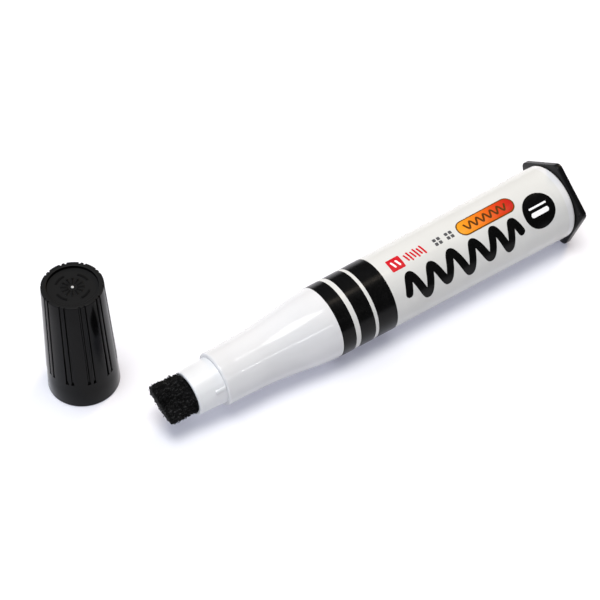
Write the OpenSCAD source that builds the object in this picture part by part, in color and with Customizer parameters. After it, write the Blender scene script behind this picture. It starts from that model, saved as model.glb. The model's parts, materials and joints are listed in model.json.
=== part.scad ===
// Jumbo chisel-tip felt marker, lying uncapped on its side, with its cap standing beside it.
// Every piece of the marker is drawn along the marker's own axis: x runs from the tip of
// the felt (x = 0) to the tail. marker_place() then lays that axis on the table.
// The cap is drawn upright on its open mouth, and cap_place() stands it on the table.

/* [Barrel] */
// From the felt's tip to the barrel's front face, the collar
collar_x = 17.3; // [16:0.1:19]
// Radius of the collar that the cap slides over
collar_r = 7.95; // [7.7:0.05:8.2]
// Length of the straight part of the collar
collar_len = 5; // [4:0.5:6]
// Where the flare begins, behind the slightly conical stretch after the collar
flare_x = 31; // [28:0.5:34]
// Radius where the flare begins
flare_r = 8.32; // [8.1:0.02:8.5]
// Where the flare ends and the long barrel begins
shoulder_x = 54; // [53.5:0.5:57]
// Radius of the long barrel at its shoulder, film included
shoulder_r = 10.82; // [10.6:0.02:11]
// Where the barrel ends
tail_x = 136.6; // [125:0.1:145]
// Radius of the long barrel at its tail, film included
tail_r = 11.74; // [11.5:0.02:12]

/* [Label sleeve] */
// Thickness of the printed film, drawn thicker than real film so that it stays a solid
film_t = 0.15; // [0.1:0.01:0.2]
// Front edge of the film
film_x = 53.1; // [51:0.1:55]
// Bare barrel left behind the film
film_tail_gap = 2.6; // [1.5:0.1:4]

/* [Felt nib] */
// Radius of the round felt stock inside the holder
stock_r = 5.35; // [5.1:0.05:5.5]
// Half the thickness of the stock between its two flats
stock_flat = 4.75; // [4.2:0.05:5]
// Radius of the felt at its tip, where it has spread
tip_r = 6.05; // [5.8:0.05:6.3]
// Half the thickness of the blunt chisel edge
edge_flat = 0.95; // [0.6:0.05:1.4]
// Turn of the chisel edge about the marker's axis, in degrees
edge_turn = 21; // [0:1:45]
// Sideways lean of the used felt in front of its holder, in degrees
felt_lean = 2.8; // [0:0.1:4]

/* [Nib holder] */
// Front rim of the holder
holder_x = 9.1; // [8.8:0.1:10]
// Outside radius at the front rim
holder_front_r = 6.45; // [6.3:0.05:6.6]
// Outside radius at the collar
holder_back_r = 6.85; // [6.7:0.05:7]
// Width of each locating rib
key_w = 0.85; // [0.6:0.05:1.2]
// Length of each locating rib
key_len = 3.2; // [2:0.1:4]
// Depth of the round mouth in front of the slot that grips the felt's flats
holder_mouth_len = 5.5; // [3:0.5:7]

/* [End plug] */
// Distance from the axis to each of the plug's five flats
plug_flat = 11.9; // [11.8:0.05:12.4]
// Thickness of the five-sided flange
plug_t = 1.9; // [1.4:0.1:3]
// Radius of the flange's corners
plug_corner_r = 2; // [1:0.25:3]
// Length of the spigot pressed into the barrel
spigot_len = 12; // [8:1:16]

/* [Cap] */
// Outside radius at the open mouth
cap_mouth_r = 10.1; // [9.8:0.05:10.4]
// Outside radius of the grip at the closed top
cap_top_r = 8.42; // [8.3:0.01:8.6]
// How far the grip stands out from the skirt
grip_proud = 0.1; // [0.05:0.05:0.2]
// Height of the cap
cap_h = 39.2; // [38.8:0.1:40]
// Height of the plain skirt round the mouth
skirt_h = 8.7; // [7:0.1:10]
// Radius of the bore that slides over the collar
cap_bore_r = 8.05; // [8:0.05:8.2]
// Number of grip ribs, each with a groove on both sides
grip_n = 10; // [8:1:12]
// Depth of the grip grooves
groove_d = 0.45; // [0.3:0.05:0.5]
// Width of the grip grooves
groove_w = 0.5; // [0.4:0.05:0.7]
// Angle from a grip rib's middle to its grooves, in degrees
groove_half_angle = 4.7; // [4:0.1:6]
// Angle of the first grip rib about the cap's axis, in degrees
grip_phase = 5.5; // [0:0.1:36]

/* [On the table] */
// From the felt's tip to the cap's axis, along the table (negative is in front of the tip)
cap_ahead = -8.2; // [-12:0.1:-5]
// From the marker's axis to the cap's axis, sideways
cap_aside = 28; // [26:0.1:32]

/* [Hidden] */

// Fineness of the turned outlines: circles themselves are true curves at any value above 12
$fn = 96;
// Overshoot of a cutter past the face that it cuts
over = 1;
// Radial overlap of two pieces pressed together
press = 0.02;

// Barrel
collar_edge_r = 0.6;
barrel_end_r = 1.1;
mouth_bore_r = 6.3;
mouth_bore_len = 13;
chamber_x = 57;
chamber_front_r = 9.3;
chamber_back_r = 9.9;
socket_r = 10.1;
flare_steps = 18;
// Length of the step from the bare flare down to the barrel under the film
film_step = 0.01;
arc_steps = 5;

// Nib and its holder
stem_x = 31;
stem_r = 4;
stem_end_x = 63;
// Overlap of the nib's three stretches, which are one piece of felt
felt_lap = 0.5;
// How much slimmer the worn felt is than the stock where it leaves the holder
felt_step = 0.15;
holder_edge_r = 0.35;
holder_end_x = 30;
slot_gap = 0.05;
key_h = 0.35;
key_root = 0.6;
key_gap = 0.1;
// Angle of the first locating rib from straight up, towards -Y
key_angle = 62;

// Ink reservoir
reservoir_r = 8.9;
wrap_t = 0.15;
reservoir_end_x = 121;

// End plug
plug_wall = 1.3;
spacer_r = 6;
spacer_wall = 1;
plug_bore_r = socket_r + press;

// Cap
cap_mouth_edge = 0.3;
cap_top_edge = 0.2;
// Small round pocket at the foot of every groove
pocket_r = 0.4;
pocket_d = 0.6;
bore_h = 10;
liner_mouth_h = 12;
cavity_low_r = 7.8;
cavity_top_r = 7.4;
cavity_h = 37.2;
recess_r = 6.95;
recess_d = 0.8;
liner_top_t = 1;
seal_r = 6.7;
seal_lead = 0.35;
gate_r = 0.4;
spoke_n = 12;
spoke_from = 1.2;
spoke_len = 1.5;
spoke_w = 0.3;
arc_n = 4;
arc_span = 44;
arc_r = 4.4;
arc_w = 0.35;
relief_h = 0.15;

// The marker touches the table with the film at its shoulder and with one flat of the plug
tilt = atan((plug_flat - shoulder_r) / (tail_x - shoulder_x));
tip_z = shoulder_r * cos(tilt) - shoulder_x * sin(tilt);

// Footprint of the marker and its cap, which centres the origin
corner_r = plug_flat / cos(36);
corner_reach = (corner_r - plug_corner_r / cos(36)) * cos(18) + plug_corner_r;
foot_x0 = cap_ahead - cap_mouth_r;
foot_x1 = (tail_x + plug_t) * cos(tilt) + plug_flat * sin(tilt);
foot_y0 = -corner_reach;
foot_y1 = cap_aside + cap_mouth_r;
tip_at = [-(foot_x0 + foot_x1) / 2, -(foot_y0 + foot_y1) / 2, tip_z];

// How fast the radius grows in front of the flare and along the long barrel
front_slope = (flare_r - collar_r) / (flare_x - collar_x - collar_len);
tube_slope = (tail_r - shoulder_r) / (tail_x - shoulder_x);

// Radius at the fraction t of the flare, which joins both straight stretches smoothly
function flare(t) =
    flare_r * (1 + 2 * t) * pow(1 - t, 2)
    + shoulder_r * (3 - 2 * t) * pow(t, 2)
    + (shoulder_x - flare_x) * t * (1 - t) * (front_slope * (1 - t) - tube_slope * t);

// Outside radius of the whole marker behind the collar, film included
function film_outer(x) =
    x < flare_x
    ? flare_r - front_slope * (flare_x - x)
    : x < shoulder_x
    ? flare((x - flare_x) / (shoulder_x - flare_x))
    : shoulder_r + tube_slope * (x - shoulder_x);

// Outside radius of the bare barrel
function barrel_outer(x) = film_outer(x) - (x < film_x ? 0 : film_t);

// Points of a quarter circle from angle a0 to a0 + 90, round [r, x]
function quarter(r, x, arc_r, a0) =
    [for (i = [0:arc_steps]) let(a = a0 + 90 * i / arc_steps) [r + arc_r * cos(a), x + arc_r * sin(a)]];

// Points of the outline from x0 to x1
function outline(x0, x1, steps) =
    [for (i = [0:steps]) let(x = x0 + (x1 - x0) * i / steps) [film_outer(x), x]];

// Lays the marker's axis on the table
module marker_place() {
    translate(tip_at) rotate([0, -tilt, 0]) children();
}

// Stands the cap on the table
module cap_place() {
    translate([tip_at.x + cap_ahead, tip_at.y + cap_aside, 0]) children();
}

// A turned piece about the marker's axis, from [radius, x] points
module turned(points) {
    rotate([0, 90, 0]) rotate_extrude() polygon(points);
}

// Round stock with two flats, along the marker's axis, turned with the chisel edge
module flatted_stock(r, half_flat, x0, x1) {
    intersection() {
        translate([x0, 0, 0]) rotate([0, 90, 0]) cylinder(r = r, h = x1 - x0);
        rotate([edge_turn, 0, 0])
            translate([x0 - over, -r - over, -half_flat])
                cube([x1 - x0 + 2 * over, 2 * (r + over), 2 * half_flat]);
    }
}

// White moulded barrel: collar, flare and long tube, open at both ends
module barrel() {
    rim_x = tail_x - barrel_end_r;
    outside = concat(
        quarter(collar_r - collar_edge_r, collar_x + collar_edge_r, collar_edge_r, -90),
        [[collar_r, collar_x + collar_len]],
        outline(flare_x, film_x - film_step, flare_steps),
        [for (x = [film_x, shoulder_x]) [barrel_outer(x), x]],
        quarter(barrel_outer(rim_x) - barrel_end_r, rim_x, barrel_end_r, 0));
    inside = [
        [socket_r, tail_x],
        [socket_r, tail_x - spigot_len],
        [chamber_back_r, tail_x - spigot_len],
        [chamber_front_r, chamber_x],
        [mouth_bore_r, collar_x + mouth_bore_len],
        [mouth_bore_r, collar_x]];
    color("white") marker_place() turned(concat(outside, inside));
}

// Printed film wrapped round the barrel
module label_sleeve() {
    film_end = tail_x - film_tail_gap;
    color("whitesmoke") marker_place() turned([
        [film_outer(film_x), film_x],
        [film_outer(shoulder_x), shoulder_x],
        [film_outer(film_end), film_end],
        [barrel_outer(film_end), film_end],
        [barrel_outer(shoulder_x), shoulder_x],
        [barrel_outer(film_x), film_x]]);
}

// The wedge of felt in front of the holder, with its chisel edge at x = 0
module worn_felt() {
    length = holder_x + felt_lap;
    back_flat = stock_flat - felt_step;
    intersection() {
        rotate([0, 90, 0]) cylinder(r1 = tip_r, r2 = stock_r - felt_step, h = length);
        rotate([90, 0, 0])
            linear_extrude(height = 4 * tip_r, center = true)
                polygon([
                    [0, -edge_flat],
                    [length, -back_flat],
                    [length, back_flat],
                    [0, edge_flat]]);
    }
}

// Felt chisel nib: the worn wedge, flatted stock in the holder, and a stem into the reservoir
module nib() {
    color("black") marker_place() {
        rotate([edge_turn, 0, 0])
            translate([holder_x, 0, 0])
                rotate([0, 0, -felt_lean])
                    translate([-holder_x, 0, 0])
                        worn_felt();
        flatted_stock(stock_r, stock_flat, holder_x, stem_x);
        translate([stem_x - felt_lap, 0, 0]) rotate([0, 90, 0])
            cylinder(r = stem_r, h = stem_end_x - stem_x + felt_lap);
    }
}

// White neck with a round mouth and a flatted slot that grips the nib, and two locating ribs
module nib_holder() {
    color("white") marker_place() difference() {
        union() {
            turned(concat(
                [[0, holder_x]],
                quarter(holder_front_r - holder_edge_r, holder_x + holder_edge_r, holder_edge_r, -90),
                [[holder_back_r, collar_x],
                [mouth_bore_r + press, collar_x],
                [mouth_bore_r + press, holder_end_x],
                [0, holder_end_x]]));
            for (side = [0, 180])
                rotate([key_angle + side, 0, 0])
                    translate([collar_x - key_gap - key_len, -key_w / 2, holder_back_r - key_root])
                        cube([key_len, key_w, key_root + key_h]);
        }
        flatted_stock(stock_r + slot_gap, stock_flat + slot_gap, holder_x - over, holder_end_x + over);
        translate([holder_x - over, 0, 0]) rotate([0, 90, 0])
            cylinder(r = stock_r + slot_gap, h = over + holder_mouth_len);
    }
}

// Bundle of fibres that holds the ink, with a blind hole for the nib's stem
module ink_reservoir() {
    color("dimgray") marker_place() turned([
        [0, stem_end_x],
        [stem_r, stem_end_x],
        [stem_r, chamber_x],
        [reservoir_r, chamber_x],
        [reservoir_r, reservoir_end_x],
        [0, reservoir_end_x]]);
}

// Plastic film wound round the fibre bundle
module reservoir_wrap() {
    color("lightgray") marker_place() turned([
        [reservoir_r, chamber_x],
        [reservoir_r + wrap_t, chamber_x],
        [reservoir_r + wrap_t, reservoir_end_x],
        [reservoir_r, reservoir_end_x]]);
}

// Five-sided outline with round corners and one flat underneath
module pentagon_outline() {
    centre_r = corner_r - plug_corner_r / cos(36);
    corner_at = [for (k = [0:4]) 90 + 72 * k];
    polygon([for (a = corner_at) for (side = [-36, 36])
        centre_r * [cos(a), sin(a)] + plug_corner_r * [cos(a + side), sin(a + side)]]);
    for (a = corner_at)
        translate(centre_r * [cos(a), sin(a)]) circle(r = plug_corner_r, $fn = 48);
}

// Black tail plug: flange that stops the marker rolling, spigot, and a tube that holds the reservoir
module end_plug() {
    color("black") marker_place() {
        translate([tail_x, 0, 0]) rotate([90, 0, 90]) linear_extrude(height = plug_t) pentagon_outline();
        turned([
            [plug_bore_r - plug_wall, tail_x - spigot_len + 1],
            [plug_bore_r, tail_x - spigot_len + 1],
            [plug_bore_r, tail_x],
            [plug_bore_r - plug_wall, tail_x]]);
        turned([
            [spacer_r - spacer_wall, reservoir_end_x],
            [spacer_r, reservoir_end_x],
            [spacer_r, tail_x],
            [spacer_r - spacer_wall, tail_x]]);
    }
}

// Outside radius of the cap's smooth cone, which the skirt follows
function cap_outer(h) = cap_mouth_r + (cap_top_r - grip_proud - cap_mouth_r) * h / cap_h;

// One straight grip groove, cut parallel to the cone, with a pocket at its foot
module grip_groove() {
    lean = atan((cap_mouth_r - cap_top_r + grip_proud) / cap_h);
    grip_r = cap_outer(skirt_h) + grip_proud;
    translate([grip_r - groove_d, -groove_w / 2, skirt_h])
        rotate([0, -lean, 0])
            cube([2, groove_w, cap_h]);
    translate([grip_r - pocket_d, 0, skirt_h + pocket_r])
        rotate([0, 90, 0])
            cylinder(r = pocket_r, h = 2);
}

// Plain relief on the recessed top: the moulding gate, short spokes round it and four arcs
module top_relief() {
    floor_h = cap_h - recess_d;
    translate([0, 0, floor_h - over]) cylinder(r = gate_r, h = over + 0.2);
    for (k = [0:spoke_n - 1])
        rotate([0, 0, 360 * k / spoke_n])
            translate([spoke_from, -spoke_w / 2, floor_h - over])
                cube([spoke_len, spoke_w, over + relief_h]);
    for (k = [0:arc_n - 1])
        rotate([0, 0, 360 * k / arc_n])
            translate([0, 0, floor_h - over])
                rotate_extrude(angle = arc_span)
                    translate([arc_r, 0]) square([arc_w, over + relief_h]);
}

// Black moulded cap with a plain skirt and a grooved grip
module cap_shell() {
    color("black") cap_place() {
        difference() {
            rotate_extrude() polygon([
                [cap_bore_r + cap_mouth_edge, 0],
                [cap_mouth_r - cap_mouth_edge, 0],
                [cap_outer(cap_mouth_edge), cap_mouth_edge],
                [cap_outer(skirt_h), skirt_h],
                [cap_outer(skirt_h) + grip_proud, skirt_h],
                [cap_top_r, cap_h - cap_top_edge],
                [cap_top_r - cap_top_edge, cap_h],
                [recess_r, cap_h],
                [recess_r, cap_h - recess_d],
                [0, cap_h - recess_d],
                [0, cavity_h],
                [cavity_top_r, cavity_h],
                [cavity_low_r, bore_h],
                [cap_bore_r, bore_h],
                [cap_bore_r, cap_mouth_edge]]);
            for (k = [0:grip_n - 1])
                for (side = [-1, 1])
                    rotate([0, 0, grip_phase + 360 * k / grip_n + side * groove_half_angle]) grip_groove();
        }
        top_relief();
    }
}

// Inner cup that seals on the neck and keeps the felt from drying
module cap_liner() {
    cone = (cavity_top_r - cavity_low_r) / (cavity_h - bore_h);
    mouth_outer_r = cavity_low_r + cone * (liner_mouth_h - bore_h) + press;
    color("gainsboro") cap_place() rotate_extrude() polygon([
        [seal_r + seal_lead, liner_mouth_h],
        [mouth_outer_r, liner_mouth_h],
        [cavity_top_r + press, cavity_h],
        [0, cavity_h],
        [0, cavity_h - liner_top_t],
        [seal_r, cavity_h - liner_top_t],
        [seal_r, liner_mouth_h + 2 * seal_lead]]);
}

barrel();
label_sleeve();
nib();
nib_holder();
ink_reservoir();
reservoir_wrap();
end_plug();
cap_shell();
cap_liner();
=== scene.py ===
"""The felt tip marker's looks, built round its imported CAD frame.

Shapes are drawn in millimetres in two local frames. The marker's frame has x along its axis
from the tip of the felt, y towards +Y and z up. The cap's frame stands on its open mouth.
Angles round the marker go from +Y (0 degrees) over the top (90) to -Y (180).
"""

import json
import math
import random

import bmesh
import bpy
import numpy as np
from mathutils import Matrix, Vector, noise


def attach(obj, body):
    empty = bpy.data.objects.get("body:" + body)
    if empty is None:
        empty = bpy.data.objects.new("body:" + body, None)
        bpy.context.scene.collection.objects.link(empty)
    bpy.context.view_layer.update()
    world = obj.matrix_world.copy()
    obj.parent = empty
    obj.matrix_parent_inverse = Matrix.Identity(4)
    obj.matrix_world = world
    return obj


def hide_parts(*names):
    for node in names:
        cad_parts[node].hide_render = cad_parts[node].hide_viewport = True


MM = 0.001

# Camera: angles in degrees, place in metres, lens in millimetres
CAM_AZIMUTH = -35.63
CAM_ELEVATION = 48.76
CAM_ROLL = 1.12
CAM_DISTANCE = 0.5057
CAM_TARGET = Vector((-0.0017, 0.0058, 0.0))
CAM_LENS = 104.0
CAM_SENSOR = 36.0

# Room light: where it is bright, and how bright
ROOM_BRIGHT_SIDE = (-0.72, 0.36, 0.58)
ROOM_DARK_FROM = 0.16
ROOM_BRIGHT_FROM = 0.88
ROOM_DARK = (0.03, 0.032, 0.038)
ROOM_BRIGHT = (0.94, 1.0, 1.12)

# Floor: half its width in metres, and the faint cool light that it gives back in the shadows
FLOOR_HALF = 3.0
FLOOR_GLOW = (0.172, 0.174, 0.222, 1.0)

# Lamps, all turned to one point: name, place, width and height in metres, watts, colour
LIGHT_AIM = (0, 0, 0.01)
LIGHTS = (
    ("key", (-0.08, -0.05, 0.98), 0.46, 0.46, 7.8, (1.0, 0.99, 0.97)),
    ("fill", (0.9, 0.35, 0.6), 0.3, 0.3, 5.0, (1.0, 0.8, 0.55)),
    ("lamp", (0.45, 0.1, 1.1), 0.2, 0.12, 0.45, (1.0, 0.86, 0.7)),
    ("strip", (0.115, -0.707, 0.497), 0.2, 0.008, 0.4, (1.0, 1.0, 1.0)),
)

# Points round a turned piece
TURN_COLUMNS = 192

# Barrel, along the marker's axis
COLLAR_X = 17.3
COLLAR_R = 7.95
COLLAR_END = 22.3
COLLAR_EDGE = 0.6
FLARE_X = 31.0
FLARE_R = 8.32
SHOULDER_X = 54.0
SHOULDER_R = 10.82
TAIL_X = 136.6
TAIL_R = 11.74
TAIL_EDGE = 1.1
MOUTH_R = 6.3
MOUTH_END = 30.3
CHAMBER_X = 57.0
CHAMBER_FRONT_R = 9.3
CHAMBER_BACK_R = 9.9
SOCKET_R = 10.1
SOCKET_LEN = 12.0

# Printed film
FILM_X = 53.1
FILM_END = 134.0
FILM_T = 0.06
FILM_GAP = 0.02
PRINT_LIFT = 0.025
PRINT_SINK = 0.02
STROKE_COLUMNS = 4

# Marks on the film. Places are (x, degrees) and sizes are along and round the marker in
# millimetres. A stroke's points are (x, millimetres round from the top).
BANDS = ((FILM_X - 0.02, SHOULDER_X, 57.45), (59.0, 64.05), (65.15, 71.6))
BADGE_AT = (77.2, 98.5)
BADGE_HALF_X = 2.25
BADGE_HALF_V = 2.1
BADGE_CORNER = 0.35
BADGE_BAR_XS = (76.4, 78.0)
BADGE_BAR_FROM = 0.57
BADGE_BAR_TO = 2.77
DASH_N = 6
DASH_X = 81.0
DASH_STEP = 1.15
DASH_LEAN = 0.35
DASH_FROM = 0.35
DASH_TO = 2.9
DASH_EXTRA = 0.45
DASH_W = 0.6
TICK_BLOCK_XS = (92.0, 96.2)
TICK_APART = 0.72
TICK_ANGLES = (94.9, 102.1)
TICK_HALF = 0.52
TICK_CORNER = 0.2
CAPSULE_AT = (109.15, 99.2)
CAPSULE_HALF_X = 10.15
CAPSULE_HALF_V = 2.68
CAPSULE_RIM = 0.4
CAPSULE_FLAT = 0.02
ZIGZAG_X = 101.6
ZIGZAG_STEP = 1.25
ZIGZAG_N = 13
ZIGZAG_V = 1.85
ZIGZAG_RISE = 1.05
ZIGZAG_W = 0.62
WAVE_TOPS = (
    (76.2, 12.4),
    (82.6, 14.2),
    (89.8, 13.4),
    (97.6, 14.4),
    (105.2, 13.6),
    (112.0, 14.0),
    (117.6, 12.0),
)
WAVE_FEET = ((78.9, 6.5), (86.0, 6.8), (93.4, 6.3), (101.0, 6.8), (108.6, 6.4), (115.0, 7.0))
WAVE_W = 2.4
DISC_AT = (125.1, 129.0)
DISC_R = 5.45
DISC_BAR_HALF = 3.2
DISC_BARS = ((0.6, 1.5), (-1.45, 0.6))

# Neck and its locating ribs
NECK_X = 8.85
NECK_EDGE = 0.35
NECK_FRONT_R = 6.45
NECK_BACK_R = 6.85
NECK_END = 30.0
NECK_MOUTH_LEN = 5.5
NECK_LIP = 0.14
NECK_BEND = 3.5
# Radii of the dark mouth: ink stain and painted shade in the gap round the felt
STAIN_AND_SHADE_R = 5.5
STAIN_AND_SHADE_EDGE_R = 5.62
STOCK_R = 5.35
STOCK_FLAT = 4.75
SLOT_GAP = 0.05
RIB_ANGLE = 152.0
RIB_W = 0.85
RIB_LEN = 3.2
RIB_TOP_R = 7.2
RIB_ROOT_R = 6.25
RIB_BEVEL = 0.16

# Felt
FELT_NECK_R = 5.64
FELT_TIP_R = 6.08
FELT_EDGE = 0.95
FELT_TURN = 21.0
FELT_NECK_ASIDE = 0.44
FELT_TIP_ASIDE = 0.68
FELT_EDGE_BACK = 0.2
FELT_EDGE_SLANT = 0.017
FELT_OVERHANG = 0.5
FELT_COLUMNS = 256
FELT_STEP = 0.16
FELT_SIDE_ROUND = 0.35
FELT_FRONT_ROWS = 10
FELT_FRONT_FLAT = 0.72
FELT_SQUARENESS = 14
FELT_ROUGH_END = NECK_X + 2
FELT_SMOOTH_FROM = NECK_X + 2.6
FELT_RISE = 0.42
FELT_SINK = 0.05
FELT_CALM = 0.25
FIBRES = 2600
FIBRE_FREE_FRONT_ROWS = 4
FIBRE_FREE_BACK_ROWS = 14
LOOSE_SHARE = 0.3
FIBRE_SEED = 7
FIBRE_SIDES = 4
FIBRE_SEGMENTS = 5
FIBRE_LENGTH = (0.4, 1.3)
FIBRE_BEND = 0.6
FIBRE_TAPER = 0.6
FIBRE_SINK = 0.05
LOOSE_LIFT = (0.25, 0.6)
LOOSE_THICKNESS = (0.05, 0.09)
FLAT_LIFT = (0.02, 0.25)
FLAT_THICKNESS = (0.025, 0.055)
# Painted light on the felt's end face, in millimetres from the tip: strongest up to the first, gone
# by the second
PAINTED_TIP_LIGHT_FROM = 0.15
PAINTED_TIP_LIGHT_TO = 0.45
STEM_X = 31.0
STEM_R = 4.0
STEM_END = 63.0

# Tail plug
PLUG_FLAT = 11.9
PLUG_T = 1.9
PLUG_CORNER_R = 2.0
PLUG_BEVEL = 0.3
SPIGOT_R = 10.12
SPIGOT_WALL = 1.3
SPIGOT_LEN = 11.0
SPIGOT_LEAD = 0.6
SPIGOT_CHAMFER = 0.3
SPIGOT_COLUMNS = 96
SPACER_R = 6.0
SPACER_X = 121.0
SPACER_WALL = 1.0
SPACER_COLUMNS = 64
ROOT_SINK = 0.2
DISH_R = 9.3
DISH_D = 0.35
GATE_R = 1.7
MARKER_LEN = TAIL_X + PLUG_T

# Cap
CAP_MOUTH_R = 10.1
CAP_TOP_R = 8.42
CAP_H = 39.2
CAP_EDGE = 0.2
SKIRT_H = 8.7
GRIP_PROUD = 0.1
CAP_BORE_R = 8.05
CAP_BORE_H = 10.0
CAVITY_LOW_R = 7.8
CAVITY_TOP_R = 7.4
CAVITY_H = 37.2
RECESS_R = 6.95
RECESS_D = 0.8
GRIP_N = 10
GRIP_PHASE = 5.5
GROOVE_HALF_ANGLE = 4.7
GROOVE_W = 0.5
GROOVE_D = 0.45
GROOVE_SOFT = 0.1
POCKET_R = 0.4
POCKET_D = 0.6
CAP_COLUMNS = 900
CAP_FOOT = 0.3
RECESS_EDGE = 0.15
RELIEF_H = 0.16
SPOKE_N = 12
SPOKE_FROM = 1.2
SPOKE_TO = 2.9
SPOKE_W = 0.5
SPOKE_BEVEL = 0.06
STUD_R = 0.42
ARC_N = 4
ARC_STEPS = 22
ARC_STEP_DEG = 2
ARC_FROM_R = 4.2
ARC_TO_R = 4.9
ARC_BEVEL = 0.06

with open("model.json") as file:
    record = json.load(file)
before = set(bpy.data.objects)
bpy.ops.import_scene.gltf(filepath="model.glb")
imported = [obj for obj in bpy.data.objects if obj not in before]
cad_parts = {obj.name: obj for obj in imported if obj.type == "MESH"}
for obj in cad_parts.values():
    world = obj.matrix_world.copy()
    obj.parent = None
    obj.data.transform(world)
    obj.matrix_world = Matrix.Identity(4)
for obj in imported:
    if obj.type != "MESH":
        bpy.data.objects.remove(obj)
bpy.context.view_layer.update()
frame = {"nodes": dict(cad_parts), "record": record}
MOUNTS = {m["name"]: m for m in frame["record"]["mounts"]}


def marker_frame():
    """The marker's own frame, from the mount on its tail."""
    axis = Vector(MOUNTS["tail_face"]["axis"]).normalized()
    side = Vector((0, 1, 0))
    tip = Vector(MOUNTS["tail_face"]["pos_m"]) - axis * MARKER_LEN * MM
    turn = Matrix((axis, side, axis.cross(side))).transposed()
    return Matrix.Translation(tip) @ turn.to_4x4()


def cap_frame():
    """The cap's own frame, from the mount in its mouth."""
    x, y, _ = MOUNTS["cap_mouth"]["pos_m"]
    return Matrix.Translation((x, y, 0))


MARKER = marker_frame()
CAP = cap_frame()


# Camera and lights


def make_camera():
    """The camera, from its azimuth, elevation, roll and distance."""
    a, e, roll = (math.radians(v) for v in (CAM_AZIMUTH, CAM_ELEVATION, CAM_ROLL))
    back = Vector((math.sin(a) * math.cos(e), -math.cos(a) * math.cos(e), math.sin(e)))
    right = Vector((math.cos(a), math.sin(a), 0))
    up = back.cross(right)
    right, up = (
        right * math.cos(roll) + up * math.sin(roll),
        up * math.cos(roll) - right * math.sin(roll),
    )
    data = bpy.data.cameras.new("camera")
    data.lens = CAM_LENS
    data.sensor_width = CAM_SENSOR
    data.clip_start = 0.01
    data.clip_end = 20
    camera = bpy.data.objects.new("camera", data)
    bpy.context.scene.collection.objects.link(camera)
    turn = Matrix((right, up, back)).transposed().to_4x4()
    camera.matrix_world = Matrix.Translation(CAM_TARGET + back * CAM_DISTANCE) @ turn
    bpy.context.scene.camera = camera


def area_light(name, place, width, height, watts, colour):
    """A rectangular lamp at a place, turned to LIGHT_AIM."""
    data = bpy.data.lights.new(name, "AREA")
    data.shape = "RECTANGLE"
    data.size = width
    data.size_y = height
    data.energy = watts
    data.color = colour
    light = bpy.data.objects.new(name, data)
    bpy.context.scene.collection.objects.link(light)
    light.location = place
    light.rotation_mode = "QUATERNION"
    light.rotation_quaternion = (Vector(LIGHT_AIM) - Vector(place)).to_track_quat("-Z", "Y")


def make_world():
    """A bright, soft room whose light comes from behind and above, darker on the camera's side."""
    world = bpy.data.worlds.new("world")
    world.use_nodes = True
    tree = world.node_tree
    background = tree.nodes["Background"]
    coords = tree.nodes.new("ShaderNodeTexCoord")
    towards = tree.nodes.new("ShaderNodeVectorMath")
    towards.operation = "DOT_PRODUCT"
    towards.inputs[1].default_value = Vector(ROOM_BRIGHT_SIDE).normalized()
    spread = tree.nodes.new("ShaderNodeMapRange")
    spread.interpolation_type = "SMOOTHSTEP"
    spread.inputs["From Min"].default_value = ROOM_DARK_FROM
    spread.inputs["From Max"].default_value = ROOM_BRIGHT_FROM
    mix = tree.nodes.new("ShaderNodeMix")
    mix.data_type = "RGBA"
    mix.inputs["A"].default_value = (*ROOM_DARK, 1)
    mix.inputs["B"].default_value = (*ROOM_BRIGHT, 1)
    tree.links.new(coords.outputs["Generated"], towards.inputs[0])
    tree.links.new(towards.outputs["Value"], spread.inputs["Value"])
    tree.links.new(spread.outputs["Result"], mix.inputs["Factor"])
    tree.links.new(mix.outputs["Result"], background.inputs["Color"])
    bpy.context.scene.world = world


# Materials


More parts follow.
